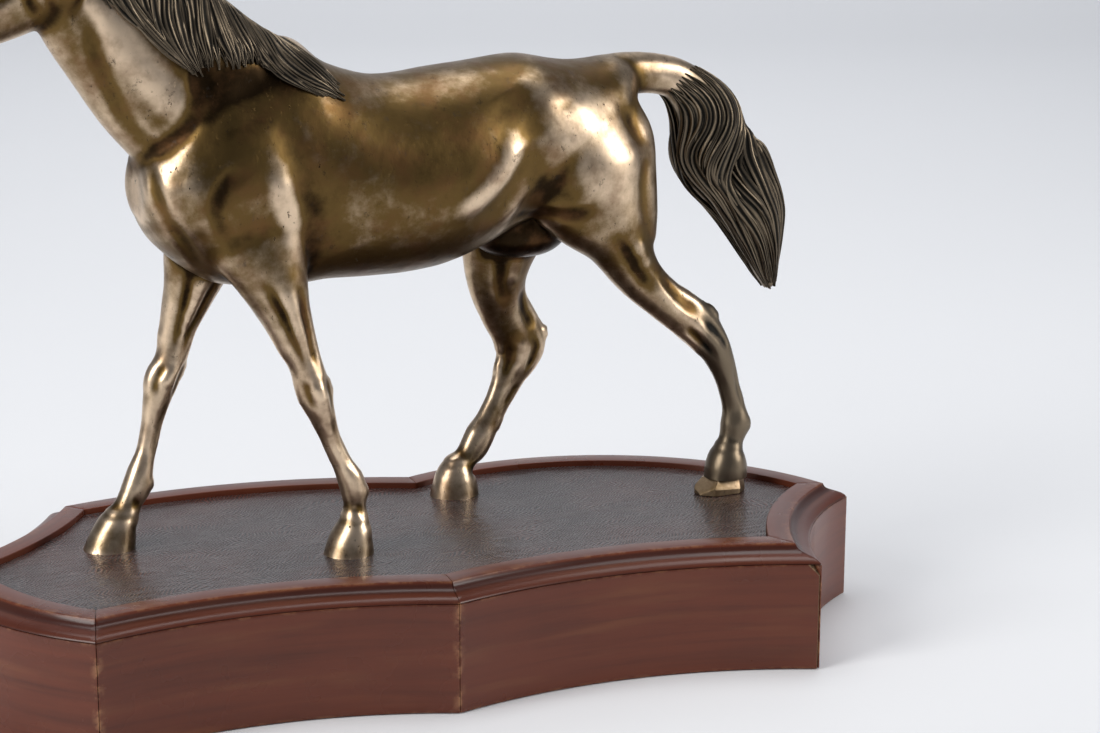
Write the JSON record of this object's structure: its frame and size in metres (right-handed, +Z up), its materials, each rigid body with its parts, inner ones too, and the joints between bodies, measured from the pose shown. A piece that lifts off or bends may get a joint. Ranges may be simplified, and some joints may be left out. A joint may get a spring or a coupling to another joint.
{
  "type": "bronze horse statue",
  "caption": "Walking horse figure cast in bronze with a flowing mane and raised tail, standing on a shaped hardwood plinth with a textured sunken top.",
  "frame": {"origin": "middle of the object's box in plan, on the surface that the felt pads rest on", "axes": "+X along the plinth's length towards the horse's tail, +Y towards the horse's off side (the plinth's back), +Z up"},
  "size_m": [0.4936, 0.2168, 0.4046],
  "materials": {
    "bronze": "polished dark golden patina, brown-black in the recesses",
    "plinth_wood": "red-brown satin gloss",
    "panel_wood": "dark brown, tooled with short chisel marks, satin gloss",
    "carcass_wood": "bare softwood",
    "steel": "plain turned steel",
    "felt": "dark green felt"
  },
  "bodies": {
    "root": {"side_board_front_left": "plinth_wood", "rim_moulding_front_left": "plinth_wood", "side_board_front_right": "plinth_wood", "rim_moulding_front_right": "plinth_wood", "side_board_right_end": "plinth_wood", "rim_moulding_right_end": "plinth_wood", "side_board_back_right": "plinth_wood", "rim_moulding_back_right": "plinth_wood", "side_board_back_left": "plinth_wood", "rim_moulding_back_left": "plinth_wood", "side_board_left_end_rear": "plinth_wood", "rim_moulding_left_end_rear": "plinth_wood", "side_board_left_end_front": "plinth_wood", "rim_moulding_left_end_front": "plinth_wood", "textured_panel": "panel_wood", "deck_board": "carcass_wood", "deck_batten_left": "carcass_wood", "deck_batten_right": "carcass_wood", "glue_block_left_end_front_to_front_left": "carcass_wood", "felt_pad_left_end_front_to_front_left": "felt", "glue_block_front_left_to_front_right": "carcass_wood", "felt_pad_front_left_to_front_right": "felt", "glue_block_front_right_to_right_end": "carcass_wood", "felt_pad_front_right_to_right_end": "felt", "glue_block_right_end_to_back_right": "carcass_wood", "felt_pad_right_end_to_back_right": "felt", "glue_block_back_left_to_left_end_rear": "carcass_wood", "felt_pad_back_left_to_left_end_rear": "felt", "glue_block_left_end_rear_to_left_end_front": "carcass_wood", "felt_pad_left_end_rear_to_left_end_front": "felt", "stud_off_fore": "steel", "washer_off_fore": "steel", "nut_off_fore": "steel", "stud_near_fore": "steel", "washer_near_fore": "steel", "nut_near_fore": "steel", "stud_off_hind": "steel", "washer_off_hind": "steel", "nut_off_hind": "steel", "stud_near_hind": "steel", "washer_near_hind": "steel", "nut_near_hind": "steel", "off_foreleg": "bronze", "near_foreleg": "bronze", "off_hindleg": "bronze", "near_hindleg": "bronze", "trunk": "bronze", "neck_and_head": "bronze", "tail": "bronze", "near_hind_hoof_block": "bronze"}
  },
  "joints": []
}
